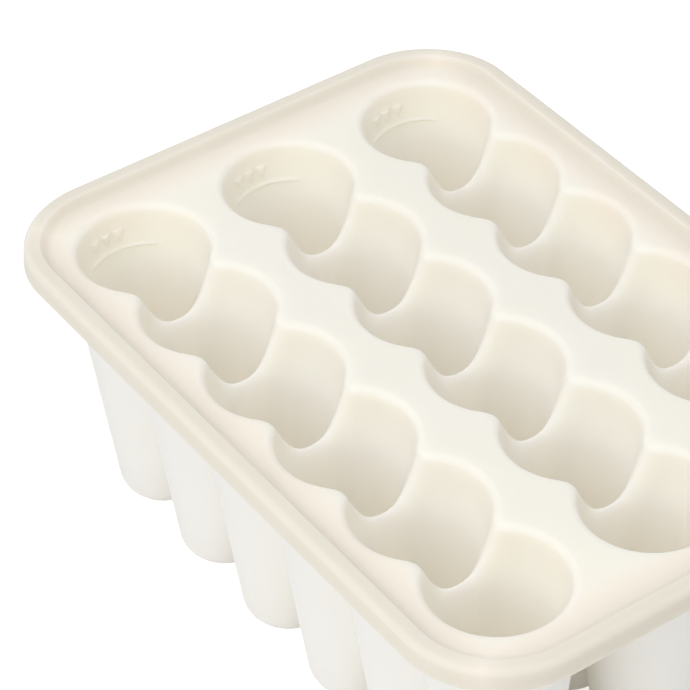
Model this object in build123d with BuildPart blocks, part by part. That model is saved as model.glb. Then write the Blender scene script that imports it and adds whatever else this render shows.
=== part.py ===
"""Baby food freezer tray: one soft moulding, built in its named zones.

Three rows of six tapered cups hang from a flat deck. The wells of a row overlap, so a row is one wavy
trough near the deck and six separate wells below the saddles between them. A raised bead runs round the
flange. The first well of each row carries a raised fill line.

Millimetres, +Z up. The tray stands on the feet of its cups at z = 0, centred on the Z axis. The rows run
along X, the front row is at -Y, and the wells with the fill line are at -X.
"""

import os
from math import asin, atan2, hypot, sqrt, tan

from build123d import *

# ---- driving dimensions ------------------------------------------------------------------------------
# layout
lobe_pitch = 18.0  # from one cup to the next in a row; less than two mouth radii, so wells overlap
lobe_count = 6
row_gap = 2.9  # between the cups of two rows, at the underside of the deck

# deck and flange
deck_height = 49.0  # deck top above the table
deck_thickness = 2.5
end_overhang = 6.7  # flange beyond the end cups, measured at the top of their walls
side_overhang = 5.7  # flange beyond the outer rows, measured in the same way
rim_corner_r = 16.0  # plan radius of the flange corners
rim_width = 5.0  # from the flange edge to the edge of the flat deck
rim_draft = 0.35  # how far the outer face leans in over its height
bead_height = 1.25  # top of the bead above the deck
bead_top_width = 1.5  # nearly level top of the bead
bead_slope_width = 0.75  # width of the bead's inner slope
bead_round = 1.1  # outer round of the bead
bead_inner_round = 0.45  # tighter round of its inner shoulder
bead_foot_round = 1.6  # hollow round where the bead runs out onto the deck
flange_edge_round = 0.4  # lower edge of the flange

# wall of a cup: its outside is a cone with a rounded foot
top_wall = 1.73  # at the underside of the deck
foot_wall = 1.6  # where the cone would meet the table
cup_foot_round = 4.5
cup_root_round = 1.0  # hollow round between the cup and the underside of the deck

# inside of a cup: a flared mouth that meets a slimmer cone
mouth_r = 10.9  # wall line at the deck top, before its edge is rounded
crest_thickness = 1.2  # wall left between two wells at the bottom of the saddle
well_foot_r = 5.2  # where the lower cone meets the floor
well_foot_round = 3.0
throat_blend_r = 20.0  # soft turn from the flare into the lower cone
floor_thickness = 1.8

# saddle between two wells of a row
saddle_depth = 8.6  # below the deck top
cusp_width = 2.2  # nose left between two mouths at the deck top, before its edges are rounded
saddle_round = 5.0  # round bottom of the saddle
crest_round = 0.5  # edges of the crest, and so the nose of each cusp
mouth_round = 0.45  # edge of the wavy slot at the deck top

# fill line
fill_depth = 6.3  # centre of the line below the deck top
fill_width = 0.6
fill_proud = 0.3
fill_arc = 72.0  # degrees of the wall that it spans

# ---- values that follow ------------------------------------------------------------------------------
deck_underside = deck_height - deck_thickness
first_x = -lobe_pitch * (lobe_count - 1) / 2
lobe_xs = [first_x + i * lobe_pitch for i in range(lobe_count)]
neck_xs = [x + lobe_pitch / 2 for x in lobe_xs[:-1]]
throat_r = (lobe_pitch - crest_thickness) / 2
throat_height = deck_height - saddle_depth
flare = (mouth_r - throat_r) / saddle_depth  # radius lost per unit of depth in the mouth
cup_top_r = mouth_r - flare * deck_thickness + top_wall
cup_foot_r = well_foot_r + foot_wall
row_pitch = 2 * cup_top_r + row_gap
row_ys = {"front": -row_pitch, "middle": 0.0, "back": row_pitch}
flange_length = 2 * (lobe_xs[-1] + cup_top_r + end_overhang)
flange_width = 2 * (row_pitch + cup_top_r + side_overhang)
cell_reach = cup_top_r + cup_root_round  # how far a cup reaches from its axis
saddle_top_half = sqrt(mouth_r**2 - ((lobe_pitch - cusp_width) / 2) ** 2)  # where the nose meets the mouths
saddle_drop = saddle_depth - saddle_round  # from the deck top to the centre of the saddle's round
saddle_lean = atan2(saddle_top_half, saddle_drop) - asin(
    saddle_round / hypot(saddle_top_half, saddle_drop)
)  # lean of the saddle's sides, which run tangent into the round
saddle_apex = deck_height - saddle_top_half / tan(saddle_lean)


def near(builder, x, y):
    """The sketch corner nearest to a point of the sketch."""
    return builder.vertices().sort_by_distance((x, y, 0))[0]


# ---- rim: edge of the flange, with the bead ----------------------------------------------------------
with BuildSketch(Plane.XY.offset(deck_height)) as flange_outline:
    RectangleRounded(flange_length, flange_width, rim_corner_r)
rim_path = flange_outline.sketch.faces()[0].outer_wire()

# the section starts on the flange edge: x runs inward and y runs up from the deck top
edge_point = rim_path @ 0
heading = rim_path % 0
inward = Vector(-heading.Y, heading.X, 0)
if inward.dot(Vector(edge_point.X, edge_point.Y, 0)) > 0:
    inward = inward * -1
rim_plane = Plane(origin=edge_point, x_dir=inward, z_dir=inward.cross(Vector(0, 0, 1)))

with BuildPart() as rim:
    with BuildSketch(rim_plane) as rim_section:
        shoulder = rim_draft + bead_round + bead_top_width
        foot = shoulder + bead_slope_width
        with BuildLine():
            Polyline(
                (0, -deck_thickness),
                (rim_draft, bead_height),
                (shoulder, bead_height),
                (foot, 0),
                (rim_width, 0),
                (rim_width, -deck_thickness),
                close=True,
            )
        make_face()
        fillet(near(rim_section, rim_draft, bead_height), bead_round)
        fillet(near(rim_section, foot, 0), bead_foot_round)
        fillet(near(rim_section, shoulder, bead_height), bead_inner_round)
        fillet(near(rim_section, 0, -deck_thickness), flange_edge_round)
    sweep(path=rim_path)
rim.part.label = "rim"

# ---- core of one row: six flared wells joined by the saddle channel -----------------------------------
# It is the space inside a row, and it cuts both the deck and the cups.
core_top = deck_height + mouth_round + 1.0
with BuildPart() as row_core:
    with BuildSketch(Plane.YZ) as well_section:
        with BuildLine():
            Polyline(
                (0, floor_thickness),
                (well_foot_r, floor_thickness),
                (throat_r, throat_height),
                (mouth_r + flare * (core_top - deck_height), core_top),
                (0, core_top),
                close=True,
            )
        make_face()
        fillet(near(well_section, well_foot_r, floor_thickness), well_foot_round)
        fillet(near(well_section, throat_r, throat_height), throat_blend_r)
    well = revolve(axis=Axis.Z, mode=Mode.PRIVATE)
    with Locations(*[(x, 0, 0) for x in lobe_xs]):
        add(well)
    with BuildSketch(Plane.YZ.offset(lobe_xs[0])) as saddle_section:
        half_top = saddle_top_half + (core_top - deck_height) * tan(saddle_lean)
        with BuildLine():
            Polyline((-half_top, core_top), (half_top, core_top), (0, saddle_apex), close=True)
        make_face()
        fillet(near(saddle_section, 0, saddle_apex), saddle_round)
    extrude(amount=lobe_xs[-1] - lobe_xs[0])
    crest_edges = [
        e
        for e in row_core.edges()
        if min(abs(e.center().X - x) for x in neck_xs) < crest_thickness + crest_round
        and e.bounding_box().max.Z - e.bounding_box().min.Z > 0.01
    ]
    fillet(crest_edges, crest_round)


# ---- deck: flat plate inside the bead, with the three wavy slots --------------------------------------
with BuildPart() as deck_plate:
    with BuildSketch(Plane.XY.offset(deck_underside)):
        RectangleRounded(
            flange_length - 2 * rim_width, flange_width - 2 * rim_width, rim_corner_r - rim_width
        )
    extrude(amount=deck_thickness)
    with Locations(*[(0, y, 0) for y in row_ys.values()]):
        add(row_core.part, mode=Mode.SUBTRACT)
    slot_edges = [wire.edges() for wire in deck_plate.faces().sort_by(Axis.Z)[-1].inner_wires()]
    fillet(slot_edges, mouth_round)

# The plate is four strips. They meet past the ends of each slot, on the centre line of its row.
strip_edges = [-flange_width / 2, *row_ys.values(), flange_width / 2]
decks = []
for strip_name, low_y, high_y in zip(
    ["front", "inner_front", "inner_back", "back"], strip_edges[:-1], strip_edges[1:]
):
    with BuildPart() as strip:
        add(deck_plate.part)
        with Locations((0, (low_y + high_y) / 2, deck_underside)):
            Box(
                flange_length,
                high_y - low_y,
                deck_thickness,
                align=(Align.CENTER, Align.CENTER, Align.MIN),
                mode=Mode.INTERSECT,
            )
    strip.part.label = f"deck_{strip_name}"
    decks.append(strip)

# ---- cups: one cone for each well, cut at the mid-planes between neighbours ---------------------------
with BuildPart() as cup_cone:
    with BuildSketch(Plane.YZ) as cup_section:
        with BuildLine():
            Polyline(
                (0, 0),
                (cup_foot_r, 0),
                (cup_top_r, deck_underside),
                (cell_reach, deck_underside),
                (cell_reach, deck_height),
                (0, deck_height),
                close=True,
            )
        make_face()
        fillet(near(cup_section, cup_foot_r, 0), cup_foot_round)
        fillet(near(cup_section, cup_top_r, deck_underside), cup_root_round)
    revolve(axis=Axis.Z)

cups = []
for row_name, row_y in row_ys.items():
    for index, lobe_x in enumerate(lobe_xs):
        cell_left = lobe_x - (lobe_pitch / 2 if index > 0 else cell_reach)
        cell_right = lobe_x + (lobe_pitch / 2 if index < lobe_count - 1 else cell_reach)
        with BuildPart() as cup:
            with Locations((lobe_x, row_y, 0)):
                add(cup_cone.part)
            with Locations(((cell_left + cell_right) / 2, row_y, 0)):
                Box(
                    cell_right - cell_left,
                    2 * cell_reach,
                    deck_underside,
                    align=(Align.CENTER, Align.CENTER, Align.MIN),
                    mode=Mode.INTERSECT,
                )
            with Locations((0, row_y, 0)):
                add(row_core.part, mode=Mode.SUBTRACT)
        cup.part.label = f"cup_{row_name}_{index + 1}"
        cups.append(cup)

# ---- fill line: low rib on the end wall of the first well of each row ---------------------------------
fill_top = deck_height - fill_depth + fill_width / 2
fill_bottom = fill_top - fill_width


def wall_r(height):
    """Radius of the flared wall at a height."""
    return mouth_r - flare * (deck_height - height)


start_side = Vector(-1, 0, 0).rotate(Axis.Z, -fill_arc / 2)
with BuildPart() as fill_rib:
    with BuildSketch(Plane(origin=(0, 0, 0), x_dir=start_side, z_dir=start_side.cross(Vector(0, 0, 1)))):
        with BuildLine():
            Line((wall_r(fill_bottom), fill_bottom), (wall_r(fill_top), fill_top))
            ThreePointArc(
                (wall_r(fill_top), fill_top),
                (wall_r((fill_top + fill_bottom) / 2) - fill_proud, (fill_top + fill_bottom) / 2),
                (wall_r(fill_bottom), fill_bottom),
            )
        make_face()
    revolve(axis=Axis.Z, revolution_arc=fill_arc)

fill_lines = []
for row_name, row_y in row_ys.items():
    with BuildPart() as fill_line:
        with Locations((lobe_xs[0], row_y, 0)):
            add(fill_rib.part)
    fill_line.part.label = f"fill_line_{row_name}"
    fill_lines.append(fill_line)

# ---- one STEP file for each piece --------------------------------------------------------------------
os.makedirs("parts", exist_ok=True)
for piece in [rim, *decks, *cups, *fill_lines]:
    export_step(piece.part, f"parts/{piece.part.label}.step")
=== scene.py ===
"""Baby food freezer tray: three rows of six joined wells in soft ivory silicone, on a pale studio floor."""
import math
import bmesh
import bpy
import numpy as np
from mathutils import Matrix, Vector


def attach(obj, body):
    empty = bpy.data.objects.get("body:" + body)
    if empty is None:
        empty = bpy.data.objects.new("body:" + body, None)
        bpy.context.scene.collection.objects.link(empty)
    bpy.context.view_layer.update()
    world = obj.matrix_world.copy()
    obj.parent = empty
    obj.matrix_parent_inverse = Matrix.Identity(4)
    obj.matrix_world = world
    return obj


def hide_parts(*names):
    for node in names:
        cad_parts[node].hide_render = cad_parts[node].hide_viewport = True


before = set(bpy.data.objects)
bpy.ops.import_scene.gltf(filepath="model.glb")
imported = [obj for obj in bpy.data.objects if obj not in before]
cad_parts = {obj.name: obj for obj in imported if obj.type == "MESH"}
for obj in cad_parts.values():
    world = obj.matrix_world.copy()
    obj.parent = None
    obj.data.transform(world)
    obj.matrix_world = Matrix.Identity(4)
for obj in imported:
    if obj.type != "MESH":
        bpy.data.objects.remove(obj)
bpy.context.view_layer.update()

# ---- sizes of the tray, in millimetres ---------------------------------------------------------------
LOBE_PITCH = 18.0
ROW_PITCH = 26.7
LOBE_X = (np.arange(6) - 2.5) * LOBE_PITCH
ROW_Y = np.array([-ROW_PITCH, 0.0, ROW_PITCH])
DECK = 49.0                # deck top
UNDERSIDE = 46.5           # underside of deck and flange
HALF_LENGTH = 63.6         # flange edge
HALF_WIDTH = 44.3
CORNER = 16.0              # plan radius of the flange corners
DECK_INSET = 4.8           # from the flange edge to the edge of the flat deck
BEAD_HEIGHT = 1.25         # top of the bead above the deck
SADDLE_BLEND = 3.3         # width over which neighbouring wells run together
SADDLE_PINCH = 1.48        # how much narrower that is on the centre line of the row
SADDLE_PINCH_REACH = 3.0   # how far the narrowing reaches from the centre line
GROOVE_BLEND = 3.6         # the same between neighbouring cups, outside
FILL_HEIGHT = DECK - 6.3   # middle of the fill line
FILL_RAISE = 0.34          # how far the line and the arrows stand proud of the wall
FILL_HALF_WIDTH = 0.46
FILL_AT = 177.0            # middle of the line round the well, in degrees
FILL_REACH = 41.0          # from there to each end, in degrees
FILL_FINE = (42.1, 46.1)   # heights between which the mesh is fine enough for the marks
ARROW_AT = 188.0           # middle arrow round the well, in degrees
ARROW_STEP = 14.0          # degrees from one arrow to the next
ARROW_WALL_R = 9.6         # radius of the wall at the arrows
ARROW_GAP = 0.8            # from the middle of the line to the tips
ARROW_HEIGHT = 2.5
ARROW_HALF_WIDTH = 1.05
ARROW_SLOPE = 0.25         # width of the slope at an arrow's edges
MM = 0.001
WELD = 2e-6                # points nearer than this are one, in metres
FLOOR_Z = -0.00005         # a hair under the feet, in metres
FLOOR_GLOW = 0.62          # what the floor adds to its own shade where it is looked at


def rounded_chain(points, radii, steps=12):
    """Polyline whose inner corners are replaced by arcs tangent to both neighbours.

    The arc of radius r at a corner that turns by t starts r * tan(t / 2) before the corner.
    """
    points = [np.asarray(p, float) for p in points]
    out = [points[0][None]]
    for before, at, after, r in zip(points[:-2], points[1:-1], points[2:], radii):
        u = (before - at) / np.linalg.norm(before - at)
        v = (after - at) / np.linalg.norm(after - at)
        half = math.acos(float(np.clip(u @ v, -1, 1))) / 2
        run = r / math.tan(half)
        centre = at + (u + v) / np.linalg.norm(u + v) * (r / math.sin(half))
        a, b = at + u * run - centre, at + v * run - centre
        swing = math.atan2(a[0] * b[1] - a[1] * b[0], a @ b)
        t = np.linspace(0, swing, steps)
        out.append(centre + np.stack([a[0] * np.cos(t) - a[1] * np.sin(t),
                                      a[0] * np.sin(t) + a[1] * np.cos(t)], axis=1))
    out.append(points[-1][None])
    return np.concatenate(out)


# profile of the inside: radius against height, from the middle of the floor out to the deck
INSIDE = rounded_chain(
    [(-1.0, 1.8), (5.2, 1.8), (8.32, 39.7), (10.45, DECK), (20.0, DECK)], [3.0, 16.0, 1.3], steps=24)
# profile of the outside: radius against height, from the middle of the foot out to the underside
OUTSIDE = rounded_chain([(-1.0, 0.0), (6.8, 0.0), (11.9, UNDERSIDE), (20.0, UNDERSIDE)], [4.5, 1.0])


def soft_union(a, b, width):
    """Smooth minimum: the lesser of two distances, less a quarter of the squared overlap over width."""
    h = np.clip(width - np.abs(a - b), 0.0, None)
    return np.minimum(a, b) - h * h / (4.0 * width)


def row_distance(x, y, lobe, width):
    """Distance to the axes of one lobe and its neighbours, joined smoothly; the rows don't meet."""
    own = np.hypot(x - LOBE_X[lobe], y)
    for other in (lobe - 1, lobe + 1):
        if 0 <= other < len(LOBE_X):
            own = soft_union(own, np.hypot(x - LOBE_X[other], y), width)
    return own


def inside_height(x, y, lobe):
    """Height of the tray's upper surface: the inside profile read at the joined distance."""
    width = SADDLE_BLEND - SADDLE_PINCH * np.exp(-(y / SADDLE_PINCH_REACH) ** 2)
    return np.interp(row_distance(x, y, lobe, width), INSIDE[:, 0], INSIDE[:, 1])


def outside_height(x, y, lobe):
    """Height of the tray's lower surface: the outside profile read at the joined distance."""
    return np.interp(row_distance(x, y, lobe, GROOVE_BLEND), OUTSIDE[:, 0], OUTSIDE[:, 1])


def ray_to_edge(angle, x0, y0, left, right, low, high, corner):
    """Length of each ray from a lobe axis to the edge of its cell.

    The cell is a rectangle; where it reaches the deck's edge, the deck's rounded corner cuts it.
    """
    c, s = np.cos(angle), np.sin(angle)
    with np.errstate(divide="ignore"):
        tx = np.where(c > 0, right / np.maximum(c, 1e-9), left / np.maximum(-c, 1e-9))
        ty = np.where(s > 0, high / np.maximum(s, 1e-9), low / np.maximum(-s, 1e-9))
    t = np.minimum(tx, ty)
    if corner is not None:
        cx, cy, r, sx, sy = corner
        dx, dy = x0 - cx, y0 - cy
        b = dx * c + dy * s
        root = b * b - (dx * dx + dy * dy - r * r)
        hit = -b + np.sqrt(np.maximum(root, 0.0))
        rounded = (sx * (dx + hit * c) > 0) & (sy * (dy + hit * s) > 0)
        t = np.where(rounded, hit, t)
    return t


def radii_along(reach, surface, shared, count, fine=None):
    """Radii at which each ray gets a vertex.

    All rays share the same radii over the floor and the lower wall, so rings run level there. From the
    last shared radius outward each ray is walked in fine steps. A step weighs its own length plus how far
    the surface turns in it, and the vertices stand at equal shares of the summed weight. A step inside
    the fine range of heights weighs more.
    """
    long_step, turn_step, fine_step = 5.0, 0.25, 0.23
    u = np.linspace(0.0, 1.0, 601)
    span = reach[:, None] - shared[-1]
    r = shared[-1] + span * u
    z = surface(r)
    dr, dz = np.diff(r, axis=1), np.diff(z, axis=1)
    phi = np.arctan2(dz, dr)
    turn = np.zeros_like(dr)
    turn[:, 1:] = np.abs(np.diff(phi, axis=1))
    length = np.hypot(dr, dz)
    weight = length / long_step + turn / turn_step + 1e-4
    if fine is not None:
        middle = 0.5 * (z[:, 1:] + z[:, :-1])
        weight += length / fine_step * ((middle > fine[0]) & (middle < fine[1]))
    total = np.concatenate([np.zeros((len(reach), 1)), np.cumsum(weight, axis=1)], axis=1)
    total /= total[:, -1:]
    want = np.linspace(0.0, 1.0, count + 1)[None, :, None]
    k = np.clip((total[:, None, :] < want).sum(-1) - 1, 0, len(u) - 2)
    lo = np.take_along_axis(total, k, 1)
    hi = np.take_along_axis(total, k + 1, 1)
    part = np.clip((want[..., 0] - lo) / np.maximum(hi - lo, 1e-12), 0.0, 1.0)
    outer = shared[-1] + span * (k + part) / (len(u) - 1)
    inner = np.broadcast_to(shared[:-1], (len(reach), len(shared) - 1))
    return np.concatenate([inner, outer], axis=1)


def quarter_angles(bend, to_bend, beyond, dense=None, fine=None):
    """Ray angles of one quarter of a cell, with a ray exactly through the cell's corner at the bend.

    Up to the bend they stand at equal shares of a summed density, which is 1 plus a bell round the dense
    angle. A fine range starts the quarter in equal small steps.
    """
    if fine is not None:
        extent, steps = fine
        start = np.linspace(0.0, extent, steps + 1)
        first = np.concatenate([start[:-1], np.linspace(extent, bend, to_bend + 1)])
    else:
        t = np.linspace(0.0, bend, 400)
        density = np.ones_like(t)
        if dense is not None:
            bell_height, bell_width = 2.2, 0.13
            density = 1.0 + bell_height * np.exp(-((t - dense) / bell_width) ** 2)
        total = np.concatenate([[0.0], np.cumsum(0.5 * (density[1:] + density[:-1]))])
        first = np.interp(np.linspace(0.0, total[-1], to_bend + 1), total, t)
    second = np.linspace(bend, math.pi / 2, beyond + 1)
    return np.concatenate([first, second[1:]])


def cell_rays(lobe, row):
    """Angles and lengths of the rays of one cell, and those of their ends that lie on the deck's edge.

    Towards a neighbour in the row the rays crowd round the cusp. In the first cell of a row they crowd
    over the fill line, from one end to the other.
    """
    x0, y0 = LOBE_X[lobe], ROW_Y[row]
    edge_x, edge_y = HALF_LENGTH - DECK_INSET, HALF_WIDTH - DECK_INSET
    left = LOBE_PITCH / 2 if lobe > 0 else edge_x + x0
    right = LOBE_PITCH / 2 if lobe < len(LOBE_X) - 1 else edge_x - x0
    low = ROW_PITCH / 2 if row > 0 else edge_y + y0
    high = ROW_PITCH / 2 if row < len(ROW_Y) - 1 else edge_y - y0
    quarters = []
    cusp_angle = 0.68
    above, below = (math.radians(14), 10), (math.radians(30), 21)  # extent and steps either side of -X
    for side_x, side_y, mark in ((right, high, None), (left, high, above), (left, low, below),
                                 (right, low, None)):
        bend = math.atan2(side_y, side_x)
        if side_x == LOBE_PITCH / 2:
            quarters.append(quarter_angles(bend, 14, 6, dense=cusp_angle))
        elif lobe == 0:
            quarters.append(quarter_angles(bend, 6 if mark is above else 3, 11, fine=mark))
        else:
            quarters.append(quarter_angles(bend, 9, 11))
    q1, q2, q3, q4 = quarters
    angle = np.concatenate([q1[:-1], (math.pi - q2[::-1])[:-1], (math.pi + q3)[:-1],
                            (2 * math.pi - q4[::-1])[:-1]])
    corner = None
    if lobe in (0, len(LOBE_X) - 1) and row in (0, len(ROW_Y) - 1):
        sx, sy = np.sign(x0), np.sign(y0)
        corner = (sx * (HALF_LENGTH - CORNER), sy * (HALF_WIDTH - CORNER), CORNER - DECK_INSET, sx, sy)
    reach = ray_to_edge(angle, x0, y0, left, right, low, high, corner)
    end = np.stack([x0 + reach * np.cos(angle), y0 + reach * np.sin(angle)], axis=1)
    return angle, reach, end[on_deck_edge(end)]


def on_deck_edge(p):
    """Whether points lie on the rounded rectangle that bounds the flat deck."""
    nearest, _ = edge_frame(p)
    return np.abs(np.linalg.norm(p - nearest, axis=1) - (CORNER - DECK_INSET)) < 1e-6


def edge_frame(p):
    """Centre of the corner round nearest to each point, or the foot of its perpendicular, and the outward
    direction there: the point less its clipped copy on the rectangle of the corner centres."""
    limit = np.array([HALF_LENGTH - CORNER, HALF_WIDTH - CORNER])
    nearest = np.clip(p, -limit, limit)
    away = p - nearest
    return nearest, away / np.maximum(np.linalg.norm(away, axis=1, keepdims=True), 1e-12)


def grid_faces(rows, columns, start):
    """Quads of a grid of vertices stored row by row, with the last row joined to the first."""
    i = np.arange(rows)[:, None]
    j = np.arange(columns - 1)[None, :]
    n = (i + 1) % rows
    return start + np.stack([i * columns + j, n * columns + j, n * columns + j + 1,
                             i * columns + j + 1], axis=-1).reshape(-1, 4)


def mesh_object(name, points, faces):
    """Object from arrays of points in metres and of faces, welded, closed and facing outward."""
    mesh = bpy.data.meshes.new(name)
    mesh.from_pydata(points, [], faces)
    bm = bmesh.new()
    bm.from_mesh(mesh)
    bmesh.ops.remove_doubles(bm, verts=bm.verts, dist=WELD)
    bmesh.ops.dissolve_degenerate(bm, edges=bm.edges, dist=1e-8)
    bmesh.ops.recalc_face_normals(bm, faces=bm.faces)
    bm.to_mesh(mesh)
    bm.free()
    mesh.shade_smooth()
    piece = bpy.data.objects.new(name, mesh)
    bpy.context.scene.collection.objects.link(piece)
    return piece


def fill_relief(angle, height):
    """How far the fill line and its three arrows stand proud of the wall, from angle and height.

    The line is a raised cosine across its width, carried along an arc; its size follows the fourth root
    of one less the fourth power of the way from its middle. Each arrow is a triangle that points down:
    its height rises over a short slope from its nearest edge.
    """
    along = np.clip((angle - math.radians(FILL_AT)) / math.radians(FILL_REACH), -1.0, 1.0)
    size = np.maximum(1.0 - along ** 4, 1e-9) ** 0.25
    across = np.clip((height - FILL_HEIGHT) / FILL_HALF_WIDTH, -1.0, 1.0)
    proud = FILL_RAISE * size * 0.5 * (1.0 + np.cos(math.pi * across)) * (size > 0.02)
    for k in (-1, 0, 1):
        aside = (angle - math.radians(ARROW_AT + ARROW_STEP * k)) * ARROW_WALL_R
        up = (height - (FILL_HEIGHT + ARROW_GAP)) / ARROW_HEIGHT
        from_top = ARROW_HEIGHT * (1.0 - up)
        from_side = 0.9 * (ARROW_HALF_WIDTH * up - np.abs(aside))
        slope = np.clip(np.minimum(from_top, from_side) / ARROW_SLOPE, 0.0, 1.0)
        proud = np.maximum(proud, FILL_RAISE * slope * slope * (3.0 - 2.0 * slope))
    return proud


def tray_surface():
    """The whole moulding as one closed surface.

    Each lobe gives two fans of rays from its axis, one on the upper and one on the lower surface. Their
    heights are the inside and outside profiles read at the joined distance to the axes of the row. In
    the first lobes the fill line and its arrows are pushed out of the wall towards the axis. The bead's
    section is carried round the edge of the deck and closes the two surfaces.
    """
    inner_radii = np.array([0.0, 2.2, 3.0, 3.7, 4.3, 4.8, 5.15, 5.42, 6.1, 6.75, 7.4, 8.0])
    outer_radii = np.array([0.0, 2.7, 3.7, 4.6, 5.4, 6.1, 6.65, 7.0, 7.2, 8.0])
    points, faces, edge = [], [], []
    count = 0
    for row, y0 in enumerate(ROW_Y):
        for lobe, x0 in enumerate(LOBE_X):
            angle, reach, on_edge = cell_rays(lobe, row)
            edge.append(on_edge)
            c, s = np.cos(angle)[:, None], np.sin(angle)[:, None]
            steps_up, fine_up = (50, FILL_FINE) if lobe == 0 else (20, None)
            top = (inside_height, inner_radii, steps_up, fine_up)
            under = (outside_height, outer_radii, 9, None)
            for height, shared, steps, fine in (top, under):
                def surface(r):
                    return height(x0 + r * c, r * s, lobe)
                r = radii_along(reach, surface, shared, steps, fine)
                z = surface(r)
                if fine is not None:
                    r = r - fill_relief(angle[:, None], z)
                grid = np.stack([x0 + r * c, y0 + r * s, z], axis=-1)
                points.append(grid.reshape(-1, 3))
                quads = grid_faces(len(angle), r.shape[1], count)
                faces.append(quads if height is inside_height else quads[:, ::-1])
                count += len(points[-1])
    edge = np.concatenate(edge)
    turn = np.arctan2(edge[:, 1], edge[:, 0])
    order = np.argsort(turn)
    edge, turn = edge[order], turn[order]
    edge = edge[np.concatenate([[True], np.diff(turn) > 1e-7])]
    section = rounded_chain(
        [(DECK_INSET, DECK), (3.7, DECK), (2.95, DECK + BEAD_HEIGHT), (0.35, DECK + BEAD_HEIGHT),
         (0.0, UNDERSIDE), (DECK_INSET, UNDERSIDE)], [1.6, 0.45, 1.1, 0.4], steps=5)
    _, out = edge_frame(edge)
    shift = DECK_INSET - section[:, 0]
    rim = np.empty((len(edge), len(section), 3))
    rim[..., :2] = edge[:, None, :] + shift[None, :, None] * out[:, None, :]
    rim[..., 2] = section[None, :, 1]
    points.append(rim.reshape(-1, 3))
    faces.append(grid_faces(len(edge), len(section), count))
    return mesh_object("tray", np.concatenate(points) * MM, np.concatenate(faces).tolist())


# ---- materials ---------------------------------------------------------------------------------------
def silicone():
    """Ivory silicone: soft light inside the wall, a faint cloudy tone, a warmer plate that is partly
    painted light, painted shade towards the plate's edge, fine matt skin.
    """
    material = bpy.data.materials.new("ivory_silicone")
    material.use_nodes = True
    nodes, links = material.node_tree.nodes, material.node_tree.links
    shader = nodes["Principled BSDF"]
    place = nodes.new("ShaderNodeTexCoord")
    cloud = nodes.new("ShaderNodeTexNoise")
    cloud.inputs["Scale"].default_value = 55.0
    cloud.inputs["Detail"].default_value = 3.0
    tone = nodes.new("ShaderNodeValToRGB")
    tone.color_ramp.elements[0].position = 0.3
    tone.color_ramp.elements[0].color = (0.966, 0.941, 0.880, 1)
    tone.color_ramp.elements[1].position = 0.7
    tone.color_ramp.elements[1].color = (0.978, 0.955, 0.900, 1)
    links.new(place.outputs["Object"], cloud.inputs["Vector"])
    links.new(cloud.outputs["Fac"], tone.inputs["Fac"])
    # the thin plate on top lets light through: its warmer tint is partly the silicone's own tone and partly
    # painted light; its darkening towards its edge is painted shade
    axes = nodes.new("ShaderNodeSeparateXYZ")
    links.new(place.outputs["Object"], axes.inputs["Vector"])

    def ramp(value, low, high):
        """Soft rise from 0 to 1 while a length goes from low to high, in millimetres."""
        rise = nodes.new("ShaderNodeMapRange")
        rise.interpolation_type = "SMOOTHSTEP"
        rise.inputs["From Min"].default_value = low * MM
        rise.inputs["From Max"].default_value = high * MM
        links.new(value, rise.inputs["Value"])
        return rise.outputs["Result"]

    def joined(operation, *values):
        """Result of a Math node on one or two numbers."""
        step = nodes.new("ShaderNodeMath")
        step.operation = operation
        for socket, value in zip(step.inputs, values):
            links.new(value, socket)
        return step.outputs[0]

    def tinted(colour, mask, tint):
        """Colour multiplied by a tint where the mask is 1."""
        mix = nodes.new("ShaderNodeMix")
        mix.data_type = "RGBA"
        mix.blend_type = "MULTIPLY"
        mix.inputs[7].default_value = tint
        links.new(mask, mix.inputs[0])
        links.new(colour, mix.inputs[6])
        return mix.outputs[2]

    plate = ramp(axes.outputs["Z"], UNDERSIDE - 9.0, UNDERSIDE + 1.0)
    painted_shade_ends = [ramp(joined("ABSOLUTE", axes.outputs[axis]), half - 11.0, half - 1.0)
            for axis, half in (("X", HALF_LENGTH), ("Y", HALF_WIDTH))]
    flange_painted_shade = joined("MULTIPLY", joined("MAXIMUM", *painted_shade_ends), plate)
    # warm tint on the plate: partly the silicone's own tone, partly painted light
    warm_tone_and_painted_light = tinted(tone.outputs["Color"], plate, (0.985, 0.944, 0.918, 1))
    # painted shade: the colour is darkened towards the plate's edge
    links.new(tinted(warm_tone_and_painted_light, flange_painted_shade, (0.830, 0.845, 0.818, 1)), shader.inputs["Base Color"])
    skin = nodes.new("ShaderNodeTexNoise")
    skin.inputs["Scale"].default_value = 1900.0
    skin.inputs["Detail"].default_value = 2.0
    links.new(place.outputs["Object"], skin.inputs["Vector"])
    matt = nodes.new("ShaderNodeMapRange")
    matt.inputs["To Min"].default_value = 0.50
    matt.inputs["To Max"].default_value = 0.62
    links.new(skin.outputs["Fac"], matt.inputs["Value"])
    links.new(matt.outputs["Result"], shader.inputs["Roughness"])
    bump = nodes.new("ShaderNodeBump")
    bump.inputs["Strength"].default_value = 0.12
    bump.inputs["Distance"].default_value = 0.00006
    links.new(skin.outputs["Fac"], bump.inputs["Height"])
    links.new(bump.outputs["Normal"], shader.inputs["Normal"])
    shader.inputs["Subsurface Weight"].default_value = 1.0
    shader.inputs["Subsurface Radius"].default_value = (1.0, 0.97, 0.93)
    shader.inputs["Subsurface Scale"].default_value = 0.002
    shader.inputs["IOR"].default_value = 1.41
    shader.inputs["Specular IOR Level"].default_value = 0.2
    return material


def looked_at(tree):
    """Socket that is 1 on rays from the camera, a reflection or a refraction, and 0 on rays that light."""
    path = tree.nodes.new("ShaderNodeLightPath")
    found = path.outputs["Is Camera Ray"]
    for name in ("Is Glossy Ray", "Is Transmission Ray"):
        either = tree.nodes.new("ShaderNodeMath")
        either.operation = "MAXIMUM"
        tree.links.new(found, either.inputs[0])
        tree.links.new(path.outputs[name], either.inputs[1])
        found = either.outputs[0]
    return found


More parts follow.
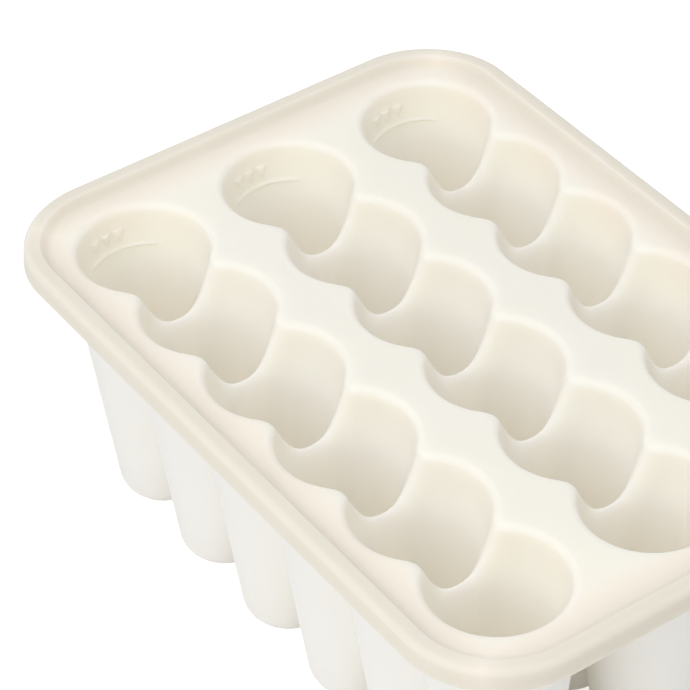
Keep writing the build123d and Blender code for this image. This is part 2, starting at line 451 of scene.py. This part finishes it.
def studio_floor():
    """Pale matt floor that shows white to the camera and keeps the tray's shadow."""
    material = bpy.data.materials.new("studio_floor")
    material.use_nodes = True
    nodes, links = material.node_tree.nodes, material.node_tree.links
    shader = nodes["Principled BSDF"]
    place = nodes.new("ShaderNodeTexCoord")
    grain = nodes.new("ShaderNodeTexNoise")
    grain.inputs["Scale"].default_value = 30.0
    tone = nodes.new("ShaderNodeValToRGB")
    tone.color_ramp.elements[0].color = (0.82, 0.81, 0.80, 1)
    tone.color_ramp.elements[1].color = (0.86, 0.85, 0.84, 1)
    links.new(place.outputs["Object"], grain.inputs["Vector"])
    links.new(grain.outputs["Fac"], tone.inputs["Fac"])
    links.new(tone.outputs["Color"], shader.inputs["Base Color"])
    shader.inputs["Roughness"].default_value = 0.9
    shader.inputs["Specular IOR Level"].default_value = 0.1
    glow = nodes.new("ShaderNodeEmission")
    glow.inputs["Color"].default_value = (1, 1, 1, 1)
    glow.inputs["Strength"].default_value = FLOOR_GLOW
    lit = nodes.new("ShaderNodeAddShader")
    links.new(shader.outputs[0], lit.inputs[0])
    links.new(glow.outputs[0], lit.inputs[1])
    top = nodes.new("ShaderNodeMixShader")
    links.new(looked_at(material.node_tree), top.inputs["Fac"])
    links.new(shader.outputs[0], top.inputs[1])
    links.new(lit.outputs[0], top.inputs[2])
    # from below the floor is clear, so that the feet can be seen
    side = nodes.new("ShaderNodeNewGeometry")
    clear = nodes.new("ShaderNodeBsdfTransparent")
    both = nodes.new("ShaderNodeMixShader")
    links.new(side.outputs["Backfacing"], both.inputs["Fac"])
    links.new(top.outputs[0], both.inputs[1])
    links.new(clear.outputs[0], both.inputs[2])
    links.new(both.outputs[0], nodes["Material Output"].inputs["Surface"])
    return material


# ---- the tray ----------------------------------------------------------------------------------------
ivory = silicone()
tray = tray_surface()
tray.data.materials.append(ivory)
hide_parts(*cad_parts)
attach(tray, "root")

# ---- floor, light and camera -------------------------------------------------------------------------
bpy.ops.mesh.primitive_plane_add(size=6.0, location=(0, 0, FLOOR_Z))
floor = bpy.context.object
floor.name = "floor"
floor.data.materials.append(studio_floor())

world = bpy.data.worlds.new("studio")
bpy.context.scene.world = world
world.use_nodes = True
fill = world.node_tree.nodes["Background"]
fill.inputs["Color"].default_value = (1, 1, 1, 1)
fill.inputs["Strength"].default_value = 0.64
white = world.node_tree.nodes.new("ShaderNodeBackground")
white.inputs["Color"].default_value = (1, 1, 1, 1)
white.inputs["Strength"].default_value = 1.0
surround = world.node_tree.nodes.new("ShaderNodeMixShader")
world.node_tree.links.new(looked_at(world.node_tree), surround.inputs["Fac"])
world.node_tree.links.new(fill.outputs[0], surround.inputs[1])
world.node_tree.links.new(white.outputs[0], surround.inputs[2])
world.node_tree.links.new(surround.outputs[0], world.node_tree.nodes["World Output"].inputs["Surface"])


def soft_lamp(name, place, aim, size, power):
    """Square area lamp at a place, turned to a point."""
    light = bpy.data.lights.new(name, "AREA")
    light.shape = "SQUARE"
    light.size = size
    light.energy = power
    lamp = bpy.data.objects.new(name, light)
    lamp.location = place
    lamp.rotation_euler = (Vector(aim) - Vector(place)).to_track_quat("-Z", "Y").to_euler()
    bpy.context.scene.collection.objects.link(lamp)


soft_lamp("key_lamp", (0.2, -0.46, 0.46), (0, 0, 0.03), 0.6, 1.25)
soft_lamp("top_lamp", (0.05, -0.3, 1.35), (0, 0, 0.03), 0.5, 3.2)

stand = Vector((0.29628, -0.21408, 0.35914))
aim = Vector((-0.00747, -0.01526, 0.049))
ahead = (aim - stand).normalized()
level = ahead.cross(Vector((0, 0, 1))).normalized()
roll = math.radians(2.54)
up = level.cross(ahead) * math.cos(roll) + level * math.sin(roll)
side = ahead.cross(up)
lens = bpy.data.cameras.new("camera")
lens.sensor_width = 36.0
lens.lens = 169.2
lens.clip_start = 0.01
camera = bpy.data.objects.new("camera", lens)
camera.matrix_world = Matrix((side, up, -ahead)).transposed().to_4x4()
camera.matrix_world.translation = stand
bpy.context.scene.collection.objects.link(camera)
bpy.context.scene.camera = camera
bpy.context.scene.view_settings.view_transform = "Standard"
bpy.context.scene.cycles.diffuse_bounces = 12  # light in the deep wells meets their walls many times
